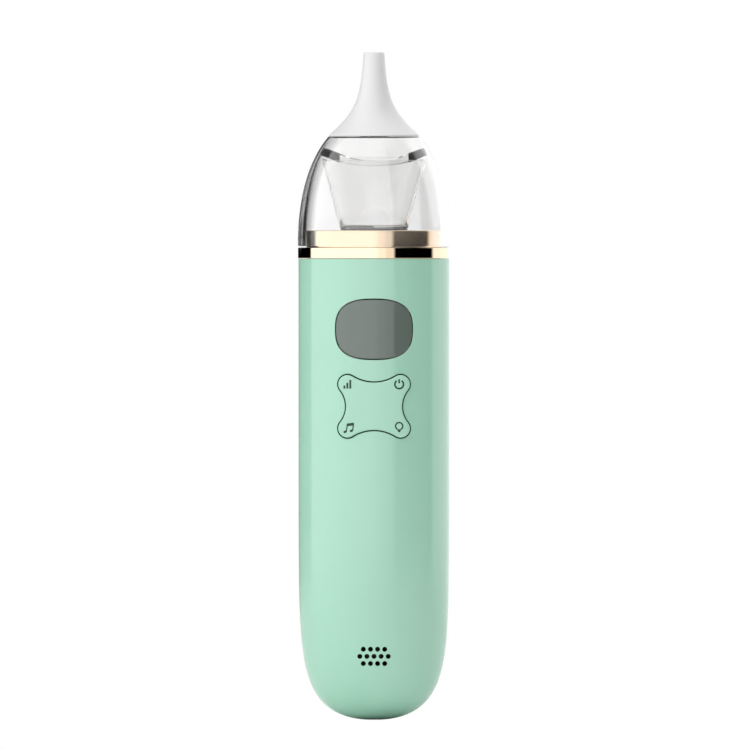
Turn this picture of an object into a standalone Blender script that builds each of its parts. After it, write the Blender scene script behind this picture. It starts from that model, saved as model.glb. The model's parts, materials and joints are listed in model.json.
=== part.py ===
"""Electric nasal aspirator: a push-fit suction head on a slim battery-powered housing.

It stands on its foot with +Z up, its front facing -Y, and its origin at the middle of the foot.
Every dimension is in millimetres, and the helpers turn it into Blender's metres.
Run it with: blender --background --python part.py
"""

import math

import bmesh
import bpy
from mathutils import Euler, Matrix, Vector

MM = 0.001
GAP = 0.3  # clearance between two pieces that touch

# Housing: a turned body, r = BODY_RADIUS * (1 - exp(-z / BELLY_LENGTH)) ** BELLY_POWER
BODY_RADIUS = 19.228
BODY_TOP = 117.4
BELLY_LENGTH = 8.52
BELLY_POWER = 0.434
BELLY_END = 52.0  # above this height the body is a plain cylinder
FOOT_LIFT = 0.39  # flattens the lowest point into a foot 10 mm across
FOOT_FADE = 1.5
WALL = 2.0
BODY_STEPS = 36
PARTING = 0.15  # each shell stops this far from the plane y = 0

# Display window in the front shell
WINDOW_HALF = (9.85, 7.7)
WINDOW_Z = 99.4
WINDOW_POWER = 2.7
WINDOW_THICK = 1.6

# Four-lobed key plate, which tips towards each lobe
KEY_Z = 79.8
LOBE = (7.15, 6.0)
LOBE_RADIUS = 2.25
WAIST = (7.39, 6.29)
KEY_BACK = 17.75
KEY_FACE = 19.4
PIVOT_Y = -15.4
SWITCH_SIZE = 3.4
PLUNGER_RADIUS = 0.9

# Speaker grille and speaker
GRILLE_Z = 16.1
GRILLE_PITCH = 1.82
GRILLE_ROWS = (4, 5, 4)
GRILLE_HOLE = 0.55
SPEAKER_Y = -8.8
SPEAKER_RADIUS = 7.4

# Charging port and its flap, in the rear shell
PORT_Z = 24.0
FLAP_HALF = (6.0, 4.0)
FLAP_SKIN = 0.05
FLAP_THICK = 1.1

# Air outlet in the rear shell
OUTLET_Z = 98.0
OUTLET_PITCH = 2.4
OUTLET_COUNT = 5
OUTLET_HOLE = 0.55

# Collar, seat and the air path below it
FLANGE = (117.65, 120.2)
FLANGE_RADIUS = 19.35
BOSS_RADIUS = 17.2
BOSS_TOP = 124.3
SKIRT_RADIUS = 16.9
SKIRT_BOTTOM = 112.0
COLLAR_BORE = 13.4
SEAT_RADIUS = 15.0
SEAT_LEDGE = 121.0
SEAT_TOP = 124.0
VENT_COUNT = 8
VENT_CIRCLE = 11.2
VENT_HOLE = 1.1
GASKET = (18.0, 18.8)

# Dome: outside and inside are superellipses over the same rim
RIM_Z = 120.5
DOME_RADIUS = 19.4
DOME_HEIGHT = 33.4
DOME_INNER_RADIUS = 17.6
DOME_INNER_HEIGHT = 34.2
DOME_POWER = 2.2
SHOULDER_Z = 148.25
CEILING_Z = 147.3
STUB_RADIUS = 3.4
STUB_TOP = 155.5
STUB_BORE = 1.6

# Tip, cup and splash bar, the bar as (radius, height)
TIP_TOP = 170.0
TIP_BASE = 148.55
TIP_OUTLET = 2.7
TIP_FOOT = 11.5
TIP_BENDS = ((3.6, 157.5), (5.9, 154.4))  # control points of the outside's Bezier curve
TIP_BORE = 1.5
CUP_BOTTOM = 124.7
CUP_TOP = 142.2
CUP_RADII = (8.6, 13.2)
CUP_WALL = 1.1
CUP_FLOOR = 0.9
BAR_TOP = ((0.0, 141.6), (3.0, 141.75), (6.0, 142.2), (8.77, 143.1), (12.75, 144.87))
BAR_BOTTOM = ((13.35, 143.65), (9.3, 141.85), (6.3, 140.85), (3.2, 140.4), (0.0, 140.25))
BAR_HALF = 3.2

# Battery, frame and board
BATTERY_Y = 1.5
BATTERY_RADIUS = 7.1
BATTERY_SPAN = (7.5, 57.5)
FRAME_Y = (-7.5, -6.0)
FRAME_HALF = 11.0
BOARD_Y = (-11.5, -10.3)
BOARD_HALF = 12.0
BOARD_SPAN = (60.0, 111.0)
SCREW_SPOTS = ((-9.0, 67.5), (9.0, 67.5), (0.0, 108.8))

# Motor and pump, on their own vertical axis
PUMP_Y = 4.5
CAN_RADIUS = 10.0
CAN_SPAN = (59.0, 83.0)
CAN_WALL = 0.7
SHAFT_RADIUS = 1.0
SHAFT_SPAN = (59.6, 87.0)
HUB_SPAN = (84.9, 90.0)
WOBBLE_Z = 95.5  # the motor's axis and the crank pin's axis cross here
WOBBLE_LEAN = math.atan(1.5 / 9.0)
PUMP_RADIUS = 10.0
BASE_SPAN = (83.4, 96.6)
DIAPHRAGM_SPAN = (96.9, 98.1)
VALVE_SPAN = (98.4, 101.6)
HEAD_SPAN = (101.9, 106.6)
CHAMBER_CIRCLE = 4.2
BOLT_CIRCLE = 8.5
NOZZLE_OFFSET = 4.5
PILOT_HOLE = 0.95


# ---------------------------------------------------------------- helpers


def mm(*values):
    return Vector(value * MM for value in values)


def start_scene():
    for leftover in list(bpy.data.objects):
        bpy.data.objects.remove(leftover)
    made = []
    for name in ("nasal_aspirator", "cutters"):
        collection = bpy.data.collections.new(name)
        bpy.context.scene.collection.children.link(collection)
        made.append(collection)
    return made


PARTS, CUTTERS = start_scene()


def linear(channel):
    level = channel / 255
    return level / 12.92 if level <= 0.04045 else ((level + 0.055) / 1.055) ** 2.4


def material(name, colour, roughness, metallic=0.0, clear=0.0):
    """A Principled material from an sRGB colour of 0 to 255. Clear is the share of light let through."""
    made = bpy.data.materials.new(name)
    made.use_nodes = True
    shader = made.node_tree.nodes["Principled BSDF"]
    shader.inputs["Base Color"].default_value = (*(linear(c) for c in colour), 1)
    shader.inputs["Roughness"].default_value = roughness
    shader.inputs["Metallic"].default_value = metallic
    shader.inputs["Transmission Weight"].default_value = clear
    made.diffuse_color = (*(linear(c) for c in colour), 1)
    return made


MINT = material("mint_gloss_plastic", (178, 224, 198), 0.18)
GOLD = material("gold_chrome", (242, 222, 178), 0.08, metallic=1.0)
CLEAR = material("clear_plastic", (245, 247, 246), 0.03, clear=0.95)
WHITE_SILICONE = material("white_silicone", (232, 232, 231), 0.45)
FROSTED = material("frosted_plastic", (235, 236, 234), 0.4, clear=0.4)
SMOKED = material("smoked_window", (120, 130, 124), 0.1)
GREY_RUBBER = material("grey_rubber", (70, 72, 72), 0.7)
WHITE_PLASTIC = material("white_plastic", (226, 226, 222), 0.4)
BLACK_PLASTIC = material("black_plastic", (28, 28, 30), 0.45)
STEEL = material("steel", (178, 180, 184), 0.3, metallic=1.0)
FERRITE = material("ferrite", (48, 48, 52), 0.6)
COPPER = material("copper", (196, 120, 74), 0.35, metallic=1.0)
BRONZE = material("sintered_bronze", (158, 120, 70), 0.5, metallic=1.0)
BOARD_GREEN = material("circuit_board", (24, 92, 58), 0.5)
BATTERY_WRAP = material("battery_wrap", (46, 92, 150), 0.35)
FILTER_FOAM = material("filter_foam", (214, 214, 206), 0.95)
LED_WHITE = material("led_lens", (250, 246, 222), 0.2)
CABLE = material("cable_jacket", (60, 60, 62), 0.5)


def axis_empty(name, place, lean=0.0):
    """An empty on a joint's or an assembly's axis, which the pieces that share it hang from."""
    empty = bpy.data.objects.new(name, None)
    empty.location = mm(*place)
    empty.rotation_euler = Euler((lean, 0, 0))
    empty.empty_display_size = 5 * MM
    PARTS.objects.link(empty)
    return empty


def place(piece, look, parent=None, at=(0, 0, 0), turn=(0, 0, 0)):
    """Puts a piece in its collection: a look makes it a part, and None makes it a cutter."""
    piece.location = mm(*at)
    piece.rotation_euler = Euler(turn)
    piece.parent = parent
    if look is None:
        piece.hide_render = True
        piece.display_type = "WIRE"
        CUTTERS.objects.link(piece)
    else:
        piece.data.materials.append(look)
        PARTS.objects.link(piece)
    return piece


def turned(name, profile, look, steps=24, **where):
    """A turned shape. The profile runs up its inner side and down its outer side, as (radius, height)."""
    mesh = bpy.data.meshes.new(name)
    rows = [(radius * MM, 0, height * MM) for radius, height in profile]
    edges = [(i, i + 1) for i in range(len(rows) - 1)]
    if profile[0][0] > 0:
        edges.append((len(rows) - 1, 0))
    mesh.from_pydata(rows, edges, [])
    piece = place(bpy.data.objects.new(name, mesh), look, **where)
    sweep = piece.modifiers.new("turn", "SCREW")
    sweep.steps = steps
    sweep.render_steps = steps
    sweep.use_merge_vertices = True
    sweep.merge_threshold = 0.00001
    return piece


def ring(name, inner, outer, low, high, look, steps=24, **where):
    """A plain tube, or a disc where the inner radius is 0."""
    profile = [(inner, high), (outer, high), (outer, low), (inner, low)]
    return turned(name, profile, look, steps, **where)


def box(name, low, high, look, bevel=0.0, **where):
    """A box between two corners, with its edges rounded by a bevel."""
    low, high = Vector(low), Vector(high)
    mesh = bpy.data.meshes.new(name)
    shape = bmesh.new()
    size = Matrix.Diagonal((*(high - low) * MM, 1))
    bmesh.ops.create_cube(shape, size=1, matrix=size)
    shape.to_mesh(mesh)
    shape.free()
    piece = place(bpy.data.objects.new(name, mesh), look, at=(low + high) / 2, **where)
    if bevel:
        rounded = piece.modifiers.new("rounded edges", "BEVEL")
        rounded.width = bevel * MM
        rounded.segments = 2
    return piece


def rod(name, start, end, radius, look, sides=16, **where):
    """A round rod between the centres of its two ends."""
    start, end = Vector(start), Vector(end)
    mesh = bpy.data.meshes.new(name)
    shape = bmesh.new()
    size = {"radius1": radius * MM, "radius2": radius * MM, "depth": (end - start).length * MM}
    bmesh.ops.create_cone(shape, cap_ends=True, segments=sides, **size)
    shape.to_mesh(mesh)
    shape.free()
    piece = bpy.data.objects.new(name, mesh)
    turn = (end - start).to_track_quat("Z", "Y").to_euler()
    return place(piece, look, at=(start + end) / 2, turn=turn, **where)


def curve_mesh(name, points, cyclic, look, **settings):
    """Makes a POLY curve with these settings and turns it into a welded mesh."""
    curve = bpy.data.curves.new(name, "CURVE")
    spline = curve.splines.new("POLY")
    spline.points.add(len(points) - 1)
    for knot, point in zip(spline.points, points):
        knot.co = (*mm(*point), 1)
    spline.use_cyclic_u = cyclic
    for key, value in settings.items():
        setattr(curve, key, value)
    drawn = bpy.data.objects.new(name + "_curve", curve)
    bpy.context.scene.collection.objects.link(drawn)
    graph = bpy.context.evaluated_depsgraph_get()
    mesh = bpy.data.meshes.new_from_object(drawn.evaluated_get(graph))
    bpy.data.objects.remove(drawn)
    shape = bmesh.new()
    shape.from_mesh(mesh)
    bmesh.ops.remove_doubles(shape, verts=shape.verts, dist=0.000002)
    bmesh.ops.recalc_face_normals(shape, faces=shape.faces)
    shape.to_mesh(mesh)
    shape.free()
    mesh.name = name
    mesh.materials.clear()
    return place(bpy.data.objects.new(name, mesh), look)


def face_prism(name, outline, height, look=None, near=12.0, far=22.0):
    """An upright outline of (x, z) points about the given height, run through the front wall along Y."""
    points = [(x, z, 0) for x, z in outline]
    half = (far - near) / 2
    settings = {"dimensions": "2D", "fill_mode": "BOTH", "extrude": half * MM}
    piece = curve_mesh(name, points, True, look, **settings)
    piece.location = mm(0, -(near + far) / 2, height)
    piece.rotation_euler = (math.pi / 2, 0, 0)
    return piece


def cut(piece, tool, operation="DIFFERENCE"):
    boolean = piece.modifiers.new(tool.name, "BOOLEAN")
    boolean.object = tool
    boolean.operation = operation
    boolean.solver = "EXACT"


def join(piece, tool):
    cut(piece, tool, "UNION")


def keep(piece, tool):
    cut(piece, tool, "INTERSECT")


def on_circle(count, radius, start=0.0):
    """Points spread evenly round a circle, the first at the start angle in degrees."""
    for index in range(count):
        angle = math.radians(start) + index * math.tau / count
        yield radius * math.cos(angle), radius * math.sin(angle)


def drill(piece, name, x, y, radius, low, high, sides=10, parent=None):
    cut(piece, rod(name, (x, y, low), (x, y, high), radius, None, sides, parent=parent))


def arc(centre, radius, start, end, count):
    """Points along an arc, from one angle to another in radians."""
    for index in range(count):
        angle = start + (end - start) * index / (count - 1)
        yield centre[0] + radius * math.cos(angle), centre[1] + radius * math.sin(angle)


def smooth_route(points, per_leg=3):
    """A Catmull-Rom curve through a route's points."""
    knots = [Vector(p) for p in points]
    knots = [2 * knots[0] - knots[1], *knots, 2 * knots[-1] - knots[-2]]
    route = []
    for a, b, c, d in zip(knots, knots[1:], knots[2:], knots[3:]):
        for step in range(per_leg):
            t = step / per_leg
            line = 2 * b + (c - a) * t
            bend = (2 * a - 5 * b + 4 * c - d) * t**2 + (3 * b - a - 3 * c + d) * t**3
            route.append((line + bend) / 2)
    route.append(knots[-2])
    return route


def wire(name, points, radius, look):
    route = smooth_route(points)
    settings = {"dimensions": "3D", "bevel_depth": radius * MM, "bevel_resolution": 1}
    return curve_mesh(name, route, False, look, use_fill_caps=True, **settings)


def screw(name, x, y, top, look=STEEL, head=(1.4, 1.0), shank=(0.65, 6.0), **where):
    """A pan-head screw standing head up, with the underside of its head at the top height."""
    profile = [
        (0, top - shank[1]),
        (shank[0], top - shank[1]),
        (shank[0], top),
        (head[0], top),
        (head[0], top + 0.6 * head[1]),
        (0.7 * head[0], top + head[1]),
        (0, top + head[1]),
    ]
    return turned(name, profile[::-1], look, steps=8, at=(x, y, 0), **where)


# ---------------------------------------------------------------- outlines


def body_radius(z, inset=0.0):
    """The housing's radius at a height. An inset gives the wall's inner face."""
    height = z - inset
    if not inset:
        height += FOOT_LIFT * math.exp(-z / FOOT_FADE)
    share = 1 - math.exp(-max(height, 0.0) / BELLY_LENGTH)
    return (BODY_RADIUS - inset) * share**BELLY_POWER


def belly_heights(low, count):
    """Heights up the rounded end, close together where it curves most."""
    return [low + (BELLY_END - low) * (i / count) ** 2.3 for i in range(count + 1)]


def dome_curve(z, radius, height):
    return radius * (1 - ((z - RIM_Z) / height) ** DOME_POWER) ** (1 / DOME_POWER)


def squircle(grow=0.0, count=40):
    """The display window's outline."""
    points = []
    for index in range(count):
        angle = math.tau * index / count
        pair = []
        for half, part in zip(WINDOW_HALF, (math.cos(angle), math.sin(angle))):
            pair.append((half + grow) * math.copysign(abs(part) ** (2 / WINDOW_POWER), part))
        points.append(tuple(pair))
    return points


def waist_radius(across, past):
    """The radius of the hollow arc that meets two lobes smoothly."""
    return (across**2 + past**2 - LOBE_RADIUS**2) / (2 * (LOBE_RADIUS - past))


def key_outline(grow=0.0):
    """The key plate's outline: a round lobe at each corner, and a hollow arc between each two."""
    side = waist_radius(LOBE[1], WAIST[0] - LOBE[0])
    top = waist_radius(LOBE[0], WAIST[1] - LOBE[1])
    side_centre = (WAIST[0] + side, 0.0)
    top_centre = (0.0, WAIST[1] + top)
    low = math.atan2(-LOBE[1], side_centre[0] - LOBE[0])
    high = math.atan2(top_centre[1] - LOBE[1], -LOBE[0])
    quarter = list(arc(side_centre, side - grow, math.pi, math.pi + low, 4))[:-1]
    quarter += arc(LOBE, LOBE_RADIUS + grow, low, high, 8)
    quarter += list(arc(top_centre, top - grow, high - math.pi, -math.pi / 2, 4))[1:-1]
    left = [(-x, z) for x, z in quarter[::-1] if z > 0]
    upper = [*quarter, (0.0, WAIST[1] + grow), *left]
    lower = [(x, -z) for x, z in upper[::-1] if z > 1e-6]
    return [*upper, (-WAIST[0] - grow, 0.0), *lower]


# ---------------------------------------------------------------- housing


def shell_blank(name):
    inner_heights = belly_heights(WALL, 7)
    outer_heights = belly_heights(0.0, 11)
    profile = [(body_radius(z, WALL), z) for z in inner_heights]
    profile[0] = (0.0, WALL)
    profile += [(body_radius(BODY_TOP, WALL), BODY_TOP), (body_radius(BODY_TOP), BODY_TOP)]
    profile += [(body_radius(z), z) for z in outer_heights[::-1]]
    profile.append((0.0, 0.0))
    return turned(name, profile, MINT, BODY_STEPS)


def half_space(name, side):
    """A block that holds everything on one side of the parting plane."""
    near, far = sorted((side * PARTING, side * 30.0))
    return box(name, (-30, near, -5), (30, far, 130), None)


def skin_block(name, inner, outer, grow):
    """A patch of the body's own curved surface at the charging port, between two depths below it."""
    heights = [PORT_Z - 9 + 2 * i for i in range(10)]
    profile = [(body_radius(z) - inner, z) for z in heights]
    profile += [(body_radius(z) - outer, z) for z in heights[::-1]]
    patch = turned(name, profile, None, BODY_STEPS)
    x, z = FLAP_HALF[0] + grow, FLAP_HALF[1] + grow
    keep(patch, box(name + "_edge", (-x, 5, PORT_Z - z), (x, 25, PORT_Z + z), None))
    return patch


def build_shells():
    front = shell_blank("front_shell")
    keep(front, half_space("front_half", -1))
    cut(front, face_prism("window_hole", squircle(GAP), WINDOW_Z))
    cut(front, face_prism("key_hole", key_outline(GAP), KEY_Z))
    for row, count in enumerate(GRILLE_ROWS):
        z = GRILLE_Z + (1 - row) * GRILLE_PITCH
        for index in range(count):
            x = (index - (count - 1) / 2) * GRILLE_PITCH
            name = f"grille_hole_{row}_{index}"
            cut(front, rod(name, (x, -21, z), (x, -12, z), GRILLE_HOLE, None, 8))

    rear = shell_blank("rear_shell")
    keep(rear, half_space("rear_half", 1))
    cut(rear, skin_block("flap_recess", FLAP_SKIN + FLAP_THICK + GAP, -2.0, GAP))
    cut(rear, box("port_hole", (-5.0, 12, PORT_Z - 2.1), (5.0, 20, PORT_Z + 2.1), None))
    for index in range(OUTLET_COUNT):
        x = (index - (OUTLET_COUNT - 1) / 2) * OUTLET_PITCH
        name = f"outlet_hole_{index}"
        cut(rear, rod(name, (x, 15, OUTLET_Z), (x, 22, OUTLET_Z), OUTLET_HOLE, None, 8))


def build_port_cover():
    hinge = (0, body_radius(PORT_Z + FLAP_HALF[1]) + 0.04, PORT_Z + FLAP_HALF[1] + 0.05)
    axis = axis_empty("port_cover_axis", hinge)
    heights = [PORT_Z - 6 + 1.5 * i for i in range(9)]
    outer = [(body_radius(z) - FLAP_SKIN, z) for z in heights]
    profile = [(r - FLAP_THICK, z) for r, z in outer] + outer[::-1]
    back = (-hinge[0], -hinge[1], -hinge[2])
    flap = turned("port_cover", profile, MINT, BODY_STEPS, parent=axis, at=back)
    x, z = FLAP_HALF
    keep(flap, box("port_cover_edge", (-x, 5, PORT_Z - z), (x, 25, PORT_Z + z), None))


def build_window():
    low, high = WINDOW_Z - 9, WINDOW_Z + 9
    span = (BODY_RADIUS - WINDOW_THICK, BODY_RADIUS - 0.02, low, high)
    window = ring("lcd_window", *span, SMOKED, BODY_STEPS)
    keep(window, face_prism("window_outline", squircle(), WINDOW_Z))
    y = BOARD_Y[0] - 0.7
    box("lcd_panel", (-9.0, y - 2.0, WINDOW_Z - 7.5), (9.0, y, WINDOW_Z + 7.5), SMOKED)


def build_keys():
    axis = axis_empty("key_axis", (0, PIVOT_Y, KEY_Z))
    board_front = BOARD_Y[0] - GAP
    rod("key_post", (0, board_front, KEY_Z), (0, PIVOT_Y + 0.8, KEY_Z), 1.5, WHITE_PLASTIC)
    rod("key_pivot", (0, 0.5, 0), (0, -0.5, 0), 2.2, BLACK_PLASTIC, parent=axis)
    span = (KEY_BACK, KEY_FACE, -9.5, 9.5)
    plate = ring("key_plate", *span, MINT, BODY_STEPS, parent=axis, at=(0, -PIVOT_Y, 0))
    keep(plate, face_prism("key_edge", key_outline(), KEY_Z))
    stem = rod("key_stem", (0, -0.8, 0), (0, -3.2, 0), 1.5, None, parent=axis)
    join(plate, stem)
    names = {(-1, 1): "level", (1, 1): "power", (-1, -1): "music", (1, -1): "light"}
    half = SWITCH_SIZE / 2
    for (side, up), key in names.items():
        x, z = side * LOBE[0], KEY_Z + up * LOBE[1]
        low = (x - half, board_front - 2.2, z - half)
        body = box(f"{key}_switch", low, (x + half, board_front, z + half), BLACK_PLASTIC)
        well = rod(f"{key}_well", (x, -12.3, z), (x, -15, z), PLUNGER_RADIUS + GAP, None, 12)
        cut(body, well)
        rod(f"{key}_plunger", (x, -12.95, z), (x, -15.45, z), PLUNGER_RADIUS, STEEL, 12)


# ---------------------------------------------------------------- suction head


def tip_outline(count=9):
    """The tip's outside, a Bezier curve from the outlet's rim to the wide foot."""
    ends = ((TIP_OUTLET, TIP_TOP - 0.3), *TIP_BENDS, (TIP_FOOT, TIP_BASE + 0.35))
    points = []
    for index in range(count + 1):
        t = index / count
        shares = ((1 - t) ** 3, 3 * t * (1 - t) ** 2, 3 * t * t * (1 - t), t**3)
        radius = sum(share * end[0] for share, end in zip(shares, ends))
        points.append((radius, sum(share * end[1] for share, end in zip(shares, ends))))
    return points


def build_tip():
    socket = STUB_RADIUS + GAP
    profile = [(socket, TIP_BASE), (socket, STUB_TOP + GAP), (TIP_BORE, STUB_TOP + 1.6)]
    profile += [(TIP_BORE, TIP_TOP), (TIP_OUTLET - 0.25, TIP_TOP), *tip_outline()]
    profile.append((TIP_FOOT - 0.3, TIP_BASE))
    turned("nozzle_tip", profile, WHITE_SILICONE, 24)


def build_dome():
    heights = [RIM_Z + 5.0 + (CEILING_Z - RIM_Z - 5.0) * i / 5 for i in range(6)]
    inner = [(dome_curve(z, DOME_INNER_RADIUS, DOME_INNER_HEIGHT), z) for z in heights]
    profile = [(DOME_INNER_RADIUS, RIM_Z + 0.05), *inner, (STUB_BORE, CEILING_Z)]
    profile += [(STUB_BORE, STUB_TOP), (STUB_RADIUS, STUB_TOP), (STUB_RADIUS, SHOULDER_Z)]
    for index in range(7):
        z = SHOULDER_Z - (SHOULDER_Z - RIM_Z - 4.0) * index / 6
        profile.append((dome_curve(z, DOME_RADIUS, DOME_HEIGHT), z))
    profile.append((DOME_RADIUS, RIM_Z + 0.05))
    turned("dome_cover", profile, CLEAR, BODY_STEPS)


def build_splash_bar():
    """A sagging bar across the dome, which keeps drops from falling straight through."""
    bar = turned("splash_bar", [*BAR_TOP, *BAR_BOTTOM], CLEAR, 24)
    keep(bar, box("splash_bar_edge", (-15, -BAR_HALF, 138), (15, BAR_HALF, 148), None))


def build_cup():
    low, high = CUP_RADII
    profile = [
        (0, CUP_BOTTOM + CUP_FLOOR),
        (low - CUP_WALL - 0.2, CUP_BOTTOM + CUP_FLOOR),
        (low - CUP_WALL + 0.7, CUP_BOTTOM + CUP_FLOOR + 0.8),
        (high - CUP_WALL, CUP_TOP),
        (high, CUP_TOP),
        (low + 0.3, CUP_BOTTOM + 1.2),
        (low - 0.9, CUP_BOTTOM),
        (0, CUP_BOTTOM),
    ]
    turned("collection_cup", profile, CLEAR, 24)


# ---------------------------------------------------------------- collar and air path


def build_collar():
    low, high = FLANGE
    profile = [
        (COLLAR_BORE, SKIRT_BOTTOM),
        (COLLAR_BORE, SEAT_LEDGE),
        (SEAT_RADIUS, SEAT_LEDGE),
        (SEAT_RADIUS, BOSS_TOP),
        (BOSS_RADIUS - 0.25, BOSS_TOP),
        (BOSS_RADIUS, BOSS_TOP - 0.25),
        (BOSS_RADIUS, high),
        (GASKET[0] - 0.2, high),
        (GASKET[0] - 0.2, high - 0.8),
        (GASKET[1] + 0.2, high - 0.8),
        (GASKET[1] + 0.2, high),
        (FLANGE_RADIUS - 0.1, high),
        (FLANGE_RADIUS, high - 0.1),
        (FLANGE_RADIUS, low + 0.1),
        (FLANGE_RADIUS - 0.1, low),
        (SKIRT_RADIUS, low),
        (SKIRT_RADIUS, SKIRT_BOTTOM),
    ]
    turned("gold_collar", profile, GOLD, BODY_STEPS)
    ring("dome_gasket", *GASKET, high - 0.5, high + 0.05, GREY_RUBBER, 24)


def build_seat():
    plate = ring("seat_plate", 0, SEAT_RADIUS - GAP, SEAT_LEDGE + GAP, SEAT_TOP, FROSTED, 24)
    for index, (x, y) in enumerate(on_circle(VENT_COUNT, VENT_CIRCLE, 20)):
        drill(plate, f"vent_{index}", x, y, VENT_HOLE, SEAT_LEDGE - 1, SEAT_TOP + 1)
    radius = COLLAR_BORE - GAP
    profile = [
        (0.9, 110.6),
        (0.9, 115.7),
        (radius - 1.1, 115.7),
        (radius - 1.1, SEAT_LEDGE - 0.1),
        (radius, SEAT_LEDGE - 0.1),
        (radius, 114.5),
        (1.6, 114.5),
        (1.6, 110.6),
    ]
    turned("plenum_cup", profile, FROSTED, 20)
    ring("filter_pad", 0, radius - 1.4, 118.4, SEAT_LEDGE - 0.4, FILTER_FOAM, 24)
    ring("suction_tube", 1.9, 2.7, 107.0, 114.2, FROSTED, 16)
    ring("led_board", 3.2, COLLAR_BORE - 0.8, 112.3, 113.3, BOARD_GREEN, 24)
    box("night_light", (6.5, -1.5, 113.6), (9.5, 1.5, 114.2), LED_WHITE)


# ---------------------------------------------------------------- electronics


def build_frame():
    """The inner frame: a spine with saddles for the battery and the motor, and bosses for the board."""
    back, half = FRAME_Y[1], FRAME_HALF
    frame = box("inner_frame", (-half, FRAME_Y[0], 34), (half, back, 110.5), WHITE_PLASTIC)
    saddles = (
        ("battery_saddle", BATTERY_Y, BATTERY_RADIUS, (38, 42), 9.0),
        ("motor_saddle", PUMP_Y, CAN_RADIUS, (72, 76), 10.8),
        ("pump_saddle", PUMP_Y, PUMP_RADIUS, (90, 94), 10.8),
    )
    for name, y, radius, (low, high), wide in saddles:
        join(frame, box(name, (-wide, back - 0.5, low), (wide, y - 2, high), None))
        seat = rod(name + "_seat", (0, y, low - 1), (0, y, high + 1), radius + GAP, None, 32)
        cut(frame, seat)
    for index, (x, z) in enumerate(SCREW_SPOTS, 1):
        front = BOARD_Y[1] + GAP
        join(frame, rod(f"boss_{index}", (x, back - 0.5, z), (x, front, z), 2.0, None, 12))
        cut(frame, rod(f"pilot_{index}", (x, -5, z), (x, -11, z), PILOT_HOLE, None, 10))


def build_board():
    low, high = BOARD_SPAN
    corners = ((-BOARD_HALF, BOARD_Y[0], low), (BOARD_HALF, BOARD_Y[1], high))
    board = box("main_board", *corners, BOARD_GREEN)
    for index, (x, z) in enumerate(SCREW_SPOTS, 1):
        hole = rod(f"board_hole_{index}", (x, -13, z), (x, -9, z), PILOT_HOLE, None, 10)
        cut(board, hole)
        axis = axis_empty(f"board_screw_axis_{index}", (x, BOARD_Y[0] - GAP, z), math.pi / 2)
        screw(f"board_screw_{index}", 0, 0, 0, parent=axis, shank=(0.65, 4.6))


def build_battery():
    low, high = BATTERY_SPAN
    radius = BATTERY_RADIUS
    profile = [(0, high + 0.8), (2.8, high + 0.8), (2.8, high), (radius - 0.4, high)]
    profile += [(radius, high - 0.4), (radius, low + 0.4), (radius - 0.4, low), (0, low)]
    turned("battery_cell", profile, BATTERY_WRAP, 20, at=(0, BATTERY_Y, 0))


def build_charging():
    front, back = 9.4, 10.4
    box("charge_board", (-6.5, front, 15.5), (6.5, back, 36.0), BOARD_GREEN)
    low, high = PORT_Z - 1.6, PORT_Z + 1.6
    corners = ((-4.5, back + GAP, low), (4.5, 16.9, high))
    socket = box("charge_socket", *corners, STEEL, bevel=0.8)
    cut(socket, box("socket_mouth", (-3.9, 12.5, low + 0.6), (3.9, 19, high - 0.6), None))


def build_speaker():
    """A small round speaker behind the grille. Its own +Z points forward."""
    axis = axis_empty("speaker_axis", (0, SPEAKER_Y, GRILLE_Z), math.pi / 2)
    radius = SPEAKER_RADIUS
    profile = [
        (3.7, 0.0),
        (3.7, 0.9),
        (radius - 1.2, 0.9),
        (radius - 1.2, 3.5),
        (radius, 3.5),
        (radius, 0.0),
    ]
    turned("speaker_frame", profile, BLACK_PLASTIC, 18, parent=axis)
    profile = [(0, 2.2), (2.0, 2.2), (4.0, 2.9), (5.8, 3.0), (5.8, 2.5), (4.2, 2.4)]
    profile += [(2.2, 1.7), (0, 1.7)]
    turned("speaker_cone", profile, BLACK_PLASTIC, 18, parent=axis)
    ring("speaker_magnet", 0, 3.3, -1.5, 1.1, FERRITE, 20, parent=axis)


def build_wires():
    """The leads inside the housing, each one jacketed pair."""
    routes = {
        "battery_cable": ((8.5, 1.5, 50), (8.9, 1.0, 55), (11.6, -3, 61), (12.6, -7, 63.5)),
        "motor_cable": ((-10.95, 4.5, 61), (-12.0, 1.0, 61.5), (-12.6, -4, 62.5), (-12.6, -7, 63.5)),
        "charge_cable": ((-4, 11.1, 33), (-6.5, 12, 38), (-10, 8, 44), (-13, 0, 51)),
        "speaker_cable": ((5, -7.7, 16), (5, -7.7, 24), (5.5, -11, 33), (6, -12.6, 45)),
    }
    ends = {
        "battery_cable": ((11.6, -9.3, 63.8),),
        "motor_cable": ((-11.6, -9.3, 63.8),),
        "charge_cable": ((-13.2, -6, 56), (-9.0, -9.0, 60), (-6.0, -9.3, 64)),
        "speaker_cable": ((6, -11.6, 56), (6, -9.2, 60), (6, -9.1, 64)),
    }
    for name, points in routes.items():
        wire(name, (*points, *ends[name]), 0.6, CABLE)


# ---------------------------------------------------------------- motor and pump


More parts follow.
